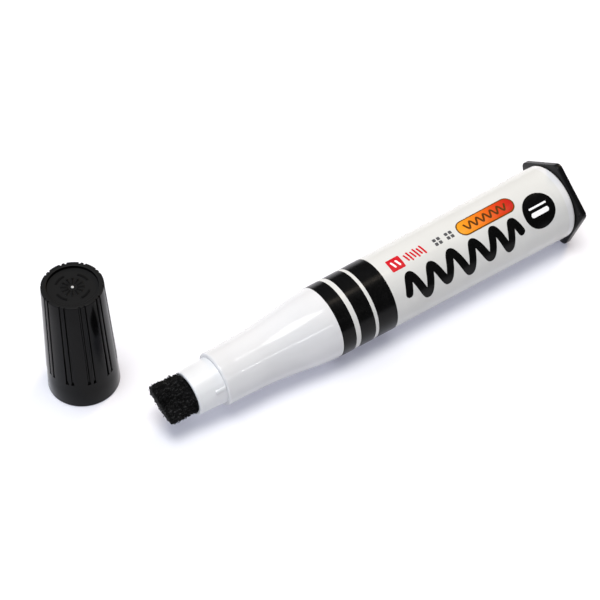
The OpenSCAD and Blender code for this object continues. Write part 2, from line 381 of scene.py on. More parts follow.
class Nodes:
    """Short calls for building one material's node tree."""

    def __init__(self, name):
        self.material = bpy.data.materials.new(name)
        self.material.use_nodes = True
        self.tree = self.material.node_tree
        self.shader = self.tree.nodes["Principled BSDF"]
        self.coords = self.tree.nodes.new("ShaderNodeTexCoord")

    def add(self, kind, **inputs):
        """A node of that kind, with inputs set or linked as set() does."""
        node = self.tree.nodes.new("ShaderNode" + kind)
        for key, value in inputs.items():
            self.plug(node.inputs[key.replace("_", " ")], value)
        return node

    def plug(self, socket, value):
        """Links another node's output to the socket, or sets the socket's own value."""
        if isinstance(value, bpy.types.NodeSocket):
            self.tree.links.new(value, socket)
        else:
            socket.default_value = value

    def set(self, **inputs):
        """Sets or links the shader's inputs. An underscore stands for a space in a name."""
        for key, value in inputs.items():
            self.plug(self.shader.inputs[key.replace("_", " ")], value)

    def here(self):
        """The piece's own coordinates, in metres."""
        return self.coords.outputs["Object"]

    def stretched(self, x, y, z):
        """Object coordinates with each axis scaled, for grain that runs along the piece."""
        node = self.add("Mapping", Vector=self.here(), Scale=(x, y, z))
        return node.outputs["Vector"]

    def noise(self, scale, detail=4.0, roughness=0.5, vector=None):
        """Noise from 0 to 1 in the piece's own coordinates, with about scale blobs to the metre."""
        node = self.add("TexNoise", Scale=scale, Detail=detail, Roughness=roughness)
        self.plug(node.inputs["Vector"], vector or self.here())
        return node.outputs["Fac"]

    def ramp(self, value, low, high, out_low=0.0, out_high=1.0):
        """value taken from the range low..high to out_low..out_high, and held at its ends."""
        ends = {"From_Min": low, "From_Max": high, "To_Min": out_low, "To_Max": out_high}
        node = self.add("MapRange", Value=value, **ends)
        node.clamp = True
        return node.outputs["Result"]

    def mix(self, factor, a, b):
        """Colour a at a factor of 0, and b at 1."""
        node = self.tree.nodes.new("ShaderNodeMix")
        node.data_type = "RGBA"
        self.plug(node.inputs["Factor"], factor)
        self.plug(node.inputs["A"], a)
        self.plug(node.inputs["B"], b)
        return node.outputs["Result"]

    def math(self, operation, a, b=0.0):
        node = self.tree.nodes.new("ShaderNodeMath")
        node.operation = operation
        self.plug(node.inputs[0], a)
        self.plug(node.inputs[1], b)
        return node.outputs["Value"]

    def length(self, a, b):
        """Distance from the axis of a point whose other two coordinates are a and b."""
        square = self.math("ADD", self.math("MULTIPLY", a, a), self.math("MULTIPLY", b, b))
        return self.math("SQRT", square)

    def bump(self, height, strength, distance):
        """Fine relief in the shading: distance is its depth in metres."""
        node = self.add("Bump", Height=height, Strength=strength, Distance=distance)
        self.plug(self.shader.inputs["Normal"], node.outputs["Normal"])

    def split(self):
        node = self.add("SeparateXYZ", Vector=self.here())
        return node.outputs["X"], node.outputs["Y"], node.outputs["Z"]


def rgb(r, g, b):
    """A colour from 0 to 255 display values."""

    def linear(v):
        v /= 255
        return v / 12.92 if v <= 0.04045 else ((v + 0.055) / 1.055) ** 2.4

    return (linear(r), linear(g), linear(b), 1.0)


def plastic(name, dark, light, rough, gloss=0.5, grain=0.00002):
    """Moulded plastic: faint mottling, uneven polish and a fine orange-peel surface."""
    m = Nodes(name)
    m.set(Base_Color=m.mix(m.ramp(m.noise(60), 0.35, 0.65), dark, light))
    m.set(Roughness=m.ramp(m.noise(350), 0.3, 0.7, rough * 0.85, rough * 1.2))
    m.set(Specular_IOR_Level=gloss)
    m.bump(m.noise(900, 3), 0.25, grain)
    return m.material


def neck_plastic():
    """White plastic whose mouth is darkened where the inked felt sits in it: ink stain and painted
    shade of the gap round the felt.
    """
    m = Nodes("holder_white")
    _, y, z = m.split()
    radius = m.length(y, z)
    ragged = m.math("MULTIPLY", m.math("SUBTRACT", m.noise(900), 0.5), 0.00035)
    stain_and_shade = m.ramp(m.math("ADD", radius, ragged), STAIN_AND_SHADE_EDGE_R * MM, STAIN_AND_SHADE_R * MM)
    clean = m.mix(m.ramp(m.noise(60), 0.35, 0.65), rgb(214, 215, 216), rgb(220, 221, 222))
    # Mouth near-black and bluish: ink stain and painted shade of the gap round the felt
    m.set(Base_Color=m.mix(stain_and_shade, clean, rgb(9, 10, 14)))
    m.set(Roughness=m.ramp(m.noise(350), 0.3, 0.7, 0.3, 0.42))
    m.bump(m.noise(900, 3), 0.25, 0.00002)
    return m.material


def felt_material(name, dark, light, painted_light_colour, has_tip=False):
    """Pressed, ink-soaked fibre: matted clumps, fine strands, pale glints painted as highlights,
    and on a tip its end face painted lighter as painted light.
    """
    m = Nodes(name)
    clumps = m.noise(900, 6, 0.7)
    strands = m.noise(2000, 5, 0.75, m.stretched(0.5, 1.0, 1.0))
    base = m.mix(m.ramp(clumps, 0.45, 0.62), dark, light)
    # Pale specks on the strands: painted highlights of glinting fibres
    painted_glints = m.ramp(strands, 0.54, 0.64)
    base = m.mix(painted_glints, base, painted_light_colour)
    if has_tip:
        x, _, _ = m.split()
        # The end face painted lighter towards the tip: painted light
        ragged = m.math("MULTIPLY", m.math("SUBTRACT", m.noise(1500), 0.5), 0.0008)
        painted_light = m.ramp(m.math("ADD", x, ragged), PAINTED_TIP_LIGHT_TO * MM, PAINTED_TIP_LIGHT_FROM * MM, 0.0, 0.8)
        base = m.mix(painted_light, base, painted_light_colour)
    m.set(Base_Color=base)
    m.set(Roughness=m.ramp(clumps, 0.3, 0.7, 0.7, 0.95))
    m.set(Specular_IOR_Level=0.1)
    m.bump(m.math("ADD", clumps, m.math("MULTIPLY", strands, 0.6)), 0.8, 0.0002)
    return m.material


def printed_ink(name, colour, shade):
    """Solid print on glossy film: dense colour with a faint unevenness of the ink."""
    m = Nodes(name)
    m.set(Base_Color=m.mix(m.ramp(m.noise(1500, 3), 0.35, 0.65), colour, shade))
    m.set(Roughness=m.ramp(m.noise(300), 0.3, 0.7, 0.16, 0.26))
    m.set(Specular_IOR_Level=0.12)
    m.bump(m.noise(700, 3), 0.2, 0.00001)
    return m.material


def blended_ink(name, start_x, end_x, stops):
    """Print whose colour runs along the marker, through the colours in stops."""
    m = Nodes(name)
    x, _, _ = m.split()
    node = m.add("ValToRGB", Fac=m.ramp(x, start_x * MM, end_x * MM))
    ramp = node.color_ramp
    while len(ramp.elements) < len(stops):
        ramp.elements.new(0.5)
    for element, (place, colour) in zip(ramp.elements, stops, strict=True):
        element.position = place
        element.color = colour
    m.set(Base_Color=node.outputs["Color"])
    m.set(Roughness=m.ramp(m.noise(300), 0.3, 0.7, 0.16, 0.26))
    return m.material


def floor_material():
    """Matt white card, with a faint glow of its own."""
    m = Nodes("floor_white")
    m.set(Base_Color=m.mix(m.ramp(m.noise(6), 0.3, 0.7), rgb(216, 216, 217), rgb(219, 219, 220)))
    m.set(Roughness=0.8)
    m.set(Specular_IOR_Level=0.2)
    m.set(Emission_Color=FLOOR_GLOW, Emission_Strength=1.0)
    return m.material


# Mesh building, in millimetres


def ease(t):
    """A smooth step from 0 to 1."""
    t = min(max(t, 0.0), 1.0)
    return t * t * (3 - 2 * t)


def film_outer(x):
    """Outside radius of the marker behind its collar, film included."""
    front_slope = (FLARE_R - COLLAR_R) / (FLARE_X - COLLAR_END)
    tube_slope = (TAIL_R - SHOULDER_R) / (TAIL_X - SHOULDER_X)
    if x < FLARE_X:
        return FLARE_R - front_slope * (FLARE_X - x)
    if x > SHOULDER_X:
        return SHOULDER_R + tube_slope * (x - SHOULDER_X)
    length = SHOULDER_X - FLARE_X
    t = (x - FLARE_X) / length
    rise = FLARE_R * (1 + 2 * t) * (1 - t) ** 2 + SHOULDER_R * (3 - 2 * t) * t**2
    return rise + length * t * (1 - t) * (front_slope * (1 - t) - tube_slope * t)


def arc(along, radius, size, start, end, steps=6):
    """Points of an arc round (along, radius). Angle 0 points along the axis and 90 outwards."""
    angles = [math.radians(start + (end - start) * i / steps) for i in range(steps + 1)]
    return [(along + size * math.cos(a), radius + size * math.sin(a)) for a in angles]


def make_object(name, points, faces, place, material, crease=32.0):
    """A mesh piece from points in millimetres, with smooth shading between creases."""
    mesh = bpy.data.meshes.new(name)
    mesh.from_pydata([tuple(c * MM for c in p) for p in points], [], faces)
    work = bmesh.new()
    work.from_mesh(mesh)
    bmesh.ops.remove_doubles(work, verts=work.verts, dist=1e-7)
    bmesh.ops.dissolve_degenerate(work, edges=work.edges, dist=1e-7)
    bmesh.ops.recalc_face_normals(work, faces=work.faces)
    work.to_mesh(mesh)
    work.free()
    mesh.materials.append(material)
    mesh.polygons.foreach_set("use_smooth", [True] * len(mesh.polygons))
    mesh.set_sharp_from_angle(angle=math.radians(crease))
    piece = bpy.data.objects.new(name, mesh)
    bpy.context.scene.collection.objects.link(piece)
    piece.matrix_world = place
    return piece


def grid_faces(rows, columns, start=0, wrap_rows=True, wrap_columns=True):
    """Quads of a grid of points, row by row, closed either way."""
    faces = []
    for i in range(rows if wrap_rows else rows - 1):
        for j in range(columns if wrap_columns else columns - 1):
            a = start + i * columns + j
            b = start + i * columns + (j + 1) % columns
            c = start + (i + 1) % rows * columns + (j + 1) % columns
            d = start + (i + 1) % rows * columns + j
            faces.append((a, b, c, d))
    return faces


class Shape:
    """Points and faces of one piece, gathered from several closed solids."""

    def __init__(self):
        self.points = []
        self.faces = []

    def add(self, points, faces):
        start = len(self.points)
        self.points += points
        self.faces += [tuple(start + i for i in face) for face in faces]

    def lathe(self, outline, columns, reach=None):
        """A closed outline of (along, radius) turned about x, whose radius reach may change."""
        angles = [2 * math.pi * j / columns for j in range(columns)]
        points = []
        for along, radius in outline:
            for a in angles:
                r = reach(along, radius, a) if reach else radius
                points.append((along, r * math.cos(a), r * math.sin(a)))
        self.add(points, grid_faces(len(outline), columns))

    def box(self, low, high, turn, bevel):
        """A box with rounded edges, turned about x by an angle in degrees."""
        work = bmesh.new()
        bmesh.ops.create_cube(work, size=1)
        middle = [(a + b) / 2 for a, b in zip(low, high, strict=True)]
        size = [b - a for a, b in zip(low, high, strict=True)]
        for v in work.verts:
            v.co = Vector([m + c * s for m, c, s in zip(middle, v.co, size, strict=True)])
        edges = work.edges[:]
        bmesh.ops.bevel(work, geom=edges, offset=bevel, segments=3, profile=0.5, affect="EDGES")
        spin = Matrix.Rotation(math.radians(turn), 3, "X")
        work.verts.index_update()
        points = [tuple(spin @ v.co) for v in work.verts]
        faces = [tuple(v.index for v in f.verts) for f in work.faces]
        work.free()
        self.add(points, faces)

    def stud(self, low, high, out, radius, turn, columns=12):
        """A small round stud parallel to x, at a distance out and a turn in degrees about x."""
        y = out * math.cos(math.radians(turn))
        z = out * math.sin(math.radians(turn))
        points = []
        for along, r in ((low, radius), (high - 0.04, radius), (high, radius - 0.05)):
            for j in range(columns):
                b = 2 * math.pi * j / columns
                points.append((along, y + r * math.cos(b), z + r * math.sin(b)))
        faces = grid_faces(3, columns, 0, False, True)
        faces += [tuple(reversed(range(columns))), tuple(range(2 * columns, 3 * columns))]
        self.add(points, faces)

    def upright(self):
        """The shape turned so that its x axis stands up."""
        self.points = [(y, z, x) for x, y, z in self.points]
        return self


def finish_piece(piece, body, slot, *nodes):
    """The piece rides on a body, and takes the place of the CAD nodes named."""
    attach(piece, body)
    if nodes:
        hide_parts(*nodes)


# Barrel


def barrel_outline():
    """Closed outline of the barrel: collar, flare and long tube, then back inside."""
    inside_collar = COLLAR_R - COLLAR_EDGE
    points = arc(COLLAR_X + COLLAR_EDGE, inside_collar, COLLAR_EDGE, 180, 90, 10)
    points += [(x, COLLAR_R) for x in (19.0, 20.5, COLLAR_END)]
    steps = 56
    for i in range(1, steps + 1):
        x = COLLAR_END + (FILM_X - COLLAR_END) * i / steps
        points.append((x, film_outer(x)))
    under = FILM_T + FILM_GAP
    for x in (FILM_X + 0.05, SHOULDER_X, 76.0, 96.0, 116.0, FILM_END - 0.05):
        points.append((x, film_outer(x) - under))
    points.append((FILM_END, film_outer(FILM_END) - FILM_T / 2))
    edge_x = TAIL_X - TAIL_EDGE
    points += arc(edge_x, film_outer(edge_x) - FILM_T / 2 - TAIL_EDGE, TAIL_EDGE, 90, 0, 10)
    points += [
        (TAIL_X, SOCKET_R),
        (TAIL_X - SOCKET_LEN, SOCKET_R),
        (TAIL_X - SOCKET_LEN, CHAMBER_BACK_R),
        (CHAMBER_X, CHAMBER_FRONT_R),
        (MOUTH_END, MOUTH_R),
        (COLLAR_X, MOUTH_R),
    ]
    return points


def make_barrel():
    shape = Shape()
    shape.lathe(barrel_outline(), TURN_COLUMNS)
    white = plastic("barrel_white", rgb(207, 207, 208), rgb(212, 212, 213), 0.11, 0.28)
    piece = make_object("barrel_shell", shape.points, shape.faces, MARKER, white)
    finish_piece(piece, "marker", "barrel_white", "barrel")


# Printed film


def on_film(x, angle, lift):
    """The point above the film at x and at an angle in degrees."""
    r = film_outer(x) + lift
    a = math.radians(angle)
    return (x, r * math.cos(a), r * math.sin(a))


def make_film():
    shape = Shape()
    stations = [FILM_X, SHOULDER_X] + [FILM_X + (FILM_END - FILM_X) * i / 8 for i in range(1, 9)]
    stations.sort()
    outer = [(x, film_outer(x)) for x in stations]
    inner = [(x, film_outer(x) - FILM_T) for x in reversed(stations)]
    shape.lathe(outer + inner, TURN_COLUMNS)
    film = plastic("label_film", rgb(202, 202, 199), rgb(207, 207, 204), 0.17, 0.28, 0.00001)
    piece = make_object("label_film", shape.points, shape.faces, MARKER, film)
    finish_piece(piece, "marker", "label_film", "label_sleeve")


class Print:
    """Flat patches of ink, in (x, angle) on the film, made into one thin solid."""

    def __init__(self):
        self.top = []
        self.faces = []

    def add(self, points, faces):
        start = len(self.top)
        self.top += points
        self.faces += [tuple(start + i for i in face) for face in faces]

    def spot(self, middle, outline, rings):
        """A filled outline of (x, arc in mm) offsets round a middle point (x, angle)."""
        degree = math.degrees(1 / film_outer(middle[0]))
        points = []
        for k in range(rings + 1):
            for dx, dv in outline:
                share = k / rings
                points.append((middle[0] + dx * share, middle[1] + dv * share * degree))
        self.add(points, grid_faces(rings + 1, len(outline), 0, False, True))

    def stroke(self, line, width):
        """A brush stroke of that width along a line of (x, arc in mm from the top) points."""
        path = smooth_path(line)
        last = len(path) - 1
        length = [0.0]
        for p, q in zip(path[:-1], path[1:], strict=True):
            length.append(length[-1] + (q - p).length)
        points = []
        for i, p in enumerate(path):
            along = (path[min(i + 1, last)] - path[max(i - 1, 0)]).normalized()
            side = Vector((-along.y, along.x))
            half = width / 2
            from_end = min(length[i], length[-1] - length[i], half)
            half = math.sqrt(max(half * half - (half - from_end) ** 2, 0))
            for k in range(STROKE_COLUMNS + 1):
                q = p + side * half * (2 * k / STROKE_COLUMNS - 1)
                points.append((q.x, 90 + math.degrees(q.y / film_outer(q.x))))
        self.add(points, grid_faces(len(path), STROKE_COLUMNS + 1, 0, False, False))

    def ring(self, edges):
        """A band right round the film, through the x values in edges."""
        points = [(x, 360 * j / TURN_COLUMNS) for x in edges for j in range(TURN_COLUMNS)]
        self.add(points, grid_faces(len(edges), TURN_COLUMNS, 0, False, True))

    def build(self, name, material, lift=PRINT_LIFT):
        """A thin solid of ink: the patches, the same patches in the film, and walls between."""
        count = len(self.top)
        points = [on_film(x, a, lift) for x, a in self.top]
        points += [on_film(x, a, -PRINT_SINK) for x, a in self.top]
        faces = list(self.faces) + [tuple(count + i for i in reversed(f)) for f in self.faces]
        used = {}
        for face in self.faces:
            for a, b in zip(face, face[1:] + face[:1], strict=True):
                used.setdefault(frozenset((a, b)), []).append((a, b))
        for pair in used.values():
            if len(pair) == 1 and len(set(pair[0])) == 2:
                a, b = pair[0]
                faces.append((b, a, count + a, count + b))
        finish_piece(make_object(name, points, faces, MARKER, material), "marker", "label_film")


def smooth_path(line, step=0.22):
    """A Catmull-Rom curve through the points, sampled evenly enough to bend smoothly."""
    knots = [Vector(p) for p in line]
    path = []
    for i in range(len(knots) - 1):
        b, c = knots[i], knots[i + 1]
        a = knots[i - 1] if i else b + (b - c)
        d = knots[i + 2] if i + 2 < len(knots) else c + (c - b)
        steps = max(2, round((c - b).length / step))
        for k in range(steps):
            t = k / steps
            linear = 2 * b + (c - a) * t
            square = (2 * a - 5 * b + 4 * c - d) * t * t
            cube = (3 * b - a - 3 * c + d) * t * t * t
            path.append(0.5 * (linear + square + cube))
    path.append(knots[-1])
    return path


def rounded_box(half_x, half_v, corner, steps=6, longest=0.5):
    """Outline of a rounded rectangle, as (x, arc) offsets not much further apart than longest."""
    points = []
    for sx, sv, start in ((1, 1, 0), (-1, 1, 90), (-1, -1, 180), (1, -1, 270)):
        middle_x, middle_v = sx * (half_x - corner), sv * (half_v - corner)
        for i in range(steps + 1):
            a = math.radians(start + 90 * i / steps)
            points.append((middle_x + corner * math.cos(a), middle_v + corner * math.sin(a)))
    dense = []
    for p, q in zip(points, points[1:] + points[:1], strict=True):
        count = max(1, round(math.dist(p, q) / longest))
        for k in range(count):
            t = k / count
            dense.append((p[0] + (q[0] - p[0]) * t, p[1] + (q[1] - p[1]) * t))
    return dense


def circle_outline(radius, count=72):
    angles = [2 * math.pi * i / count for i in range(count)]
    return [(radius * math.cos(a), radius * math.sin(a)) for a in angles]


def make_bands(black):
    for i, edges in enumerate(BANDS):
        band = Print()
        band.ring(edges)
        band.build(f"print_band_{i + 1}", black)


def make_badge(red, white):
    """A red tile with two pale slanting bars, and a row of slanting dashes after it."""
    tile = Print()
    tile.spot(BADGE_AT, rounded_box(BADGE_HALF_X, BADGE_HALF_V, BADGE_CORNER), 5)
    for i in range(DASH_N):
        x = DASH_X + DASH_STEP * i
        extra = DASH_EXTRA * (i % 2)
        tile.stroke([(x - DASH_LEAN, DASH_FROM - extra), (x + DASH_LEAN, DASH_TO + extra)], DASH_W)
    tile.build("print_badge", red)
    mark = Print()
    for x in BADGE_BAR_XS:
        mark.stroke([(x - DASH_LEAN, BADGE_BAR_FROM), (x + DASH_LEAN, BADGE_BAR_TO)], DASH_W)
    mark.build("print_badge_bars", white, PRINT_LIFT * 2)


def make_ticks(ink):
    """Two blocks of four small dots."""
    ticks = Print()
    for middle in TICK_BLOCK_XS:
        for x in (middle - TICK_APART, middle + TICK_APART):
            for angle in TICK_ANGLES:
                ticks.spot((x, angle), rounded_box(TICK_HALF, TICK_HALF, TICK_CORNER, 3), 2)
    ticks.build("print_ticks", ink)


def make_capsule(blend, edge, dark):
    """A capsule that runs from yellow to red, with an outline and a zigzag line."""
    for name, material, inset, lift in (
        ("print_capsule_rim", edge, 0.0, PRINT_LIFT),
        ("print_capsule", blend, CAPSULE_RIM, PRINT_LIFT * 2),
    ):
        half_v = CAPSULE_HALF_V - inset
        outline = rounded_box(CAPSULE_HALF_X - inset, half_v, half_v - CAPSULE_FLAT, 10)
        capsule = Print()
        capsule.spot(CAPSULE_AT, outline, 8)
        capsule.build(name, material, lift)
    zigzag = Print()
    line = []
    for i in range(ZIGZAG_N):
        rise = ZIGZAG_RISE if i % 2 else -ZIGZAG_RISE
        line.append((ZIGZAG_X + ZIGZAG_STEP * i, ZIGZAG_V + rise))
    zigzag.stroke(line, ZIGZAG_W)
    zigzag.build("print_capsule_wave", dark, PRINT_LIFT * 3)


def make_scribble(black):
    """A bold wavy sample line, uneven as if drawn by hand."""
    scribble = Print()
    scribble.stroke(sorted(WAVE_TOPS + WAVE_FEET), WAVE_W)
    scribble.build("print_scribble", black)


def make_disc(black, white):
    """A black disc with a thick and a thin pale bar across it."""
    disc = Print()
    disc.spot(DISC_AT, circle_outline(DISC_R), 10)
    disc.build("print_disc", black)
    x, angle = DISC_AT
    middle = math.radians(angle - 90) * film_outer(x)
    bars = Print()
    for offset, width in DISC_BARS:
        v = middle + offset
        bars.stroke([(x - DISC_BAR_HALF, v), (x, v), (x + DISC_BAR_HALF, v)], width)
    bars.build("print_disc_bars", white, PRINT_LIFT * 2)


def make_prints():
    black = printed_ink("ink_black", rgb(8, 8, 8), rgb(12, 12, 12))
    white = printed_ink("ink_white", rgb(236, 236, 236), rgb(244, 244, 244))
    red = printed_ink("ink_red", rgb(186, 24, 34), rgb(196, 32, 42))
    grey = printed_ink("ink_grey", rgb(70, 70, 72), rgb(84, 84, 86))
    brown = printed_ink("ink_brown", rgb(92, 62, 20), rgb(104, 70, 24))
    dark = printed_ink("ink_dark", rgb(84, 50, 14), rgb(96, 56, 18))
    stops = (
        (0.0, rgb(224, 152, 30)),
        (0.35, rgb(222, 118, 18)),
        (0.7, rgb(204, 62, 16)),
        (1.0, rgb(174, 16, 22)),
    )
    ends = (CAPSULE_AT[0] - CAPSULE_HALF_X, CAPSULE_AT[0] + CAPSULE_HALF_X)
    blend = blended_ink("ink_blend", *ends, stops)
    make_bands(black)
    make_badge(red, white)
    make_ticks(grey)
    make_capsule(blend, brown, dark)
    make_scribble(black)
    make_disc(black, white)


# Neck


def neck_reach(along, radius, angle):
    """Behind its round mouth, the neck's inside follows the felt's two flats."""
    if radius > STOCK_R + SLOT_GAP + 0.01 or along < NECK_X + NECK_MOUTH_LEN + 0.001:
        return radius
    across = abs(math.sin(angle - math.radians(FELT_TURN)))
    return min(radius, (STOCK_FLAT + SLOT_GAP) / max(across, 1e-6))


def make_neck():
    inside = STOCK_R + SLOT_GAP
    slot_x = NECK_X + NECK_MOUTH_LEN
    widening = (NECK_BACK_R - NECK_FRONT_R) / (COLLAR_X - NECK_X)
    seat_r = MOUTH_R + 0.02
    outline = arc(NECK_X + NECK_EDGE, NECK_FRONT_R - NECK_EDGE, NECK_EDGE, 180, 90, 6)
    outline += [
        (NECK_X + NECK_BEND, NECK_FRONT_R + widening * NECK_BEND),
        (COLLAR_X, NECK_BACK_R),
        (COLLAR_X, seat_r),
        (NECK_END, seat_r),
        (NECK_END, inside),
        (slot_x + 0.01, inside),
        (slot_x, inside),
    ]
    outline += arc(NECK_X + NECK_LIP, inside + NECK_LIP, NECK_LIP, 270, 180, 5)
    shape = Shape()
    shape.lathe(outline, TURN_COLUMNS, neck_reach)
    for turn in (RIB_ANGLE, RIB_ANGLE + 180):
        low = (COLLAR_X - 0.1 - RIB_LEN, RIB_ROOT_R, -RIB_W / 2)
        high = (COLLAR_X - 0.02, RIB_TOP_R, RIB_W / 2)
        shape.box(low, high, turn, RIB_BEVEL)
    piece = make_object("neck", shape.points, shape.faces, MARKER, neck_plastic())
    finish_piece(piece, "marker", "holder_white", "nib_holder")


# Felt


def felt_half(x):
    """Half the thickness between the felt's two slanted faces."""
    if x < NECK_X:
        return FELT_EDGE + (STOCK_FLAT - FELT_EDGE) * x / NECK_X
    return STOCK_FLAT


def overhang(x):
    """How far the felt has spread over the neck's rim: 0 in the neck, 1 just in front of it."""
    return ease((NECK_X - x) / FELT_OVERHANG)


def felt_radius(x):
    """Radius of the felt's rounded sides, which widen from the neck to the tip."""
    ahead = max(0.0, 1 - x / NECK_X)
    spread = FELT_NECK_R + (FELT_TIP_R - FELT_NECK_R) * ahead
    return STOCK_R + (spread - STOCK_R) * overhang(x)


def felt_section(x, angle, shrink=1.0):
    """A point of the felt's section at x: a circle between two flats, with soft corners."""
    flat = abs(math.sin(angle)) / felt_half(x)
    round_side = 1 / felt_radius(x)
    power = FELT_SQUARENESS
    r = shrink / (flat**power + round_side**power) ** (1 / power)
    turn = math.radians(FELT_TURN)
    y, z = r * math.cos(angle), r * math.sin(angle)
    if x < NECK_X:
        ahead = 1 - x / NECK_X
        aside = FELT_NECK_ASIDE + (FELT_TIP_ASIDE - FELT_NECK_ASIDE) * ahead
        x += (FELT_EDGE_BACK - FELT_EDGE_SLANT * y) * min(3 * ahead, 1)
        y += aside * overhang(x)
    return (x, y * math.cos(turn) - z * math.sin(turn), y * math.sin(turn) + z * math.cos(turn))


def matted(p, amount):
    """Uneven height of the felt's surface at a point: broad waves, clumps and drawn-out strands."""
    big = noise.noise(Vector(p) * 0.55) * 0.8
    clump = noise.noise(Vector(p) * 1.7 + Vector((9, 2, 5))) * 0.7
    drawn_out = Vector((p[0] * 1.6, p[1] * 3.2, p[2] * 3.2))
    strand = noise.ridged_multi_fractal(drawn_out, 0.9, 2.1, 3, 1.0, 2.0)
    return amount * (big + clump + (strand - 1.2) * 0.5)


def felt_rows():
    """Stations of the felt in front of the neck, as (x, share of the section's size)."""
    rows = []
    for k in range(1, FELT_FRONT_ROWS + 1):
        share = k / FELT_FRONT_ROWS
        edge = max(0.0, share - FELT_FRONT_FLAT) / (1 - FELT_FRONT_FLAT)
        rows.append((FELT_SIDE_ROUND * (1 - math.sqrt(max(0.0, 1 - edge * edge))), share))
    x = FELT_SIDE_ROUND
    while x < FELT_ROUGH_END:
        x += FELT_STEP
        rows.append((x, 1.0))
    return rows


def felt_surface(rows, angles):
    """The rough surface of the felt and its outward normals, as two grids of points."""
    points = [felt_section(x, a, share) for x, share in rows for a in angles]
    base = np.array(points).reshape(len(rows), len(angles), 3)
    along = np.gradient(base, axis=0)
    around = np.roll(base, -1, axis=1) - np.roll(base, 1, axis=1)
    normal = np.cross(around, along)
    normal /= np.maximum(np.linalg.norm(normal, axis=2, keepdims=True), 1e-9)
    inside = np.array([6.0, 0, 0])
    flip = np.sign((normal * (base - inside)).sum(axis=2, keepdims=True))
    normal *= np.where(flip == 0, 1, flip)
    for i, (x, _) in enumerate(rows):
        calm = 1.0 if x < NECK_X - 0.2 else FELT_CALM
        for j in range(len(angles)):
            base[i, j] += normal[i, j] * (matted(base[i, j], FELT_RISE * calm) - FELT_SINK)
    return base, normal


def make_felt():
    rows = felt_rows()
    angles = [2 * math.pi * j / FELT_COLUMNS for j in range(FELT_COLUMNS)]
    base, normal = felt_surface(rows, angles)
    points = [tuple(p) for p in base.reshape(-1, 3)]
    for x in (FELT_SMOOTH_FROM, STEM_X):
        points += [felt_section(x, a) for a in angles]
    for x, r in ((STEM_X, STEM_R), (STEM_END, STEM_R), (STEM_END, 0.0)):
        for a in angles:
            turned = a + math.radians(FELT_TURN)
            points.append((x, r * math.cos(turned), r * math.sin(turned)))
    faces = grid_faces(len(points) // FELT_COLUMNS, FELT_COLUMNS, 0, False, True)
    centre = len(points)
    points.append(tuple(base[0].mean(axis=0)))
    faces += [(centre, (j + 1) % FELT_COLUMNS, j) for j in range(FELT_COLUMNS)]
    shape = Shape()
    shape.add(points, faces)
    add_fibres(shape, base, normal)
    felt = felt_material("felt", rgb(2, 2, 2), rgb(21, 21, 21), rgb(66, 66, 66), True)
    piece = make_object("felt_nib", shape.points, shape.faces, MARKER, felt, crease=60)
    finish_piece(piece, "marker", "felt", "nib")


def add_fibres(shape, base, normal):
    """Loose curved fibres lying on the felt and standing a little proud of it."""
    draw = random.Random(FIBRE_SEED)
    past_last = base.shape[0] - FIBRE_FREE_BACK_ROWS
    for _ in range(FIBRES):
        i = draw.randrange(FIBRE_FREE_FRONT_ROWS, past_last)
        j = draw.randrange(FELT_COLUMNS)
        p = Vector(base[i, j])
        n = Vector(normal[i, j])
        tangent = n.orthogonal().normalized()
        tangent = Matrix.Rotation(draw.uniform(0, 2 * math.pi), 3, n) @ tangent
        side = n.cross(tangent)
        length = draw.uniform(*FIBRE_LENGTH)
        bend = draw.uniform(-FIBRE_BEND, FIBRE_BEND) * length
        loose = draw.random() < LOOSE_SHARE
        lift = draw.uniform(*(LOOSE_LIFT if loose else FLAT_LIFT))
        thick = draw.uniform(*(LOOSE_THICKNESS if loose else FLAT_THICKNESS))
        points = []
        for k in range(FIBRE_SEGMENTS + 1):
            t = k / FIBRE_SEGMENTS - 0.5
            middle = p + tangent * t * length + side * bend * (0.25 - t * t)
            middle = middle + n * (lift * (1 - 4 * t * t) - FIBRE_SINK)
            r = thick * (1 - FIBRE_TAPER * abs(2 * t) ** 3)
            for m in range(FIBRE_SIDES):
                a = 2 * math.pi * m / FIBRE_SIDES
                points.append(tuple(middle + (n * math.cos(a) + side * math.sin(a)) * r))
        faces = grid_faces(FIBRE_SEGMENTS + 1, FIBRE_SIDES, 0, False, True)
        faces.append(tuple(range(FIBRE_SIDES)))
        faces.append(tuple(reversed(range(len(points) - FIBRE_SIDES, len(points)))))
        shape.add(points, faces)


# Tail plug


def pentagon(inset=0.0, corner_steps=8, side_steps=10):
    """Outline of the five-sided flange as (y, z), with round corners and one flat underneath."""
    corner_r = PLUG_CORNER_R - inset * 0.5
    centre_r = (PLUG_FLAT - inset - corner_r) / math.cos(math.radians(36))
    points = []
    for k in range(5):
        middle = 90 + 72 * k
        cy = centre_r * math.cos(math.radians(middle))
        cz = centre_r * math.sin(math.radians(middle))
        for i in range(corner_steps + 1):
            a = math.radians(middle - 36 + 72 * i / corner_steps)
            points.append((cy + corner_r * math.cos(a), cz + corner_r * math.sin(a)))
    dense = []
    for i, (p, q) in enumerate(zip(points, points[1:] + points[:1], strict=True)):
        steps = side_steps if (i + 1) % (corner_steps + 1) == 0 else 1
        for k in range(steps):
            dense.append((p[0] + (q[0] - p[0]) * k / steps, p[1] + (q[1] - p[1]) * k / steps))
    return dense


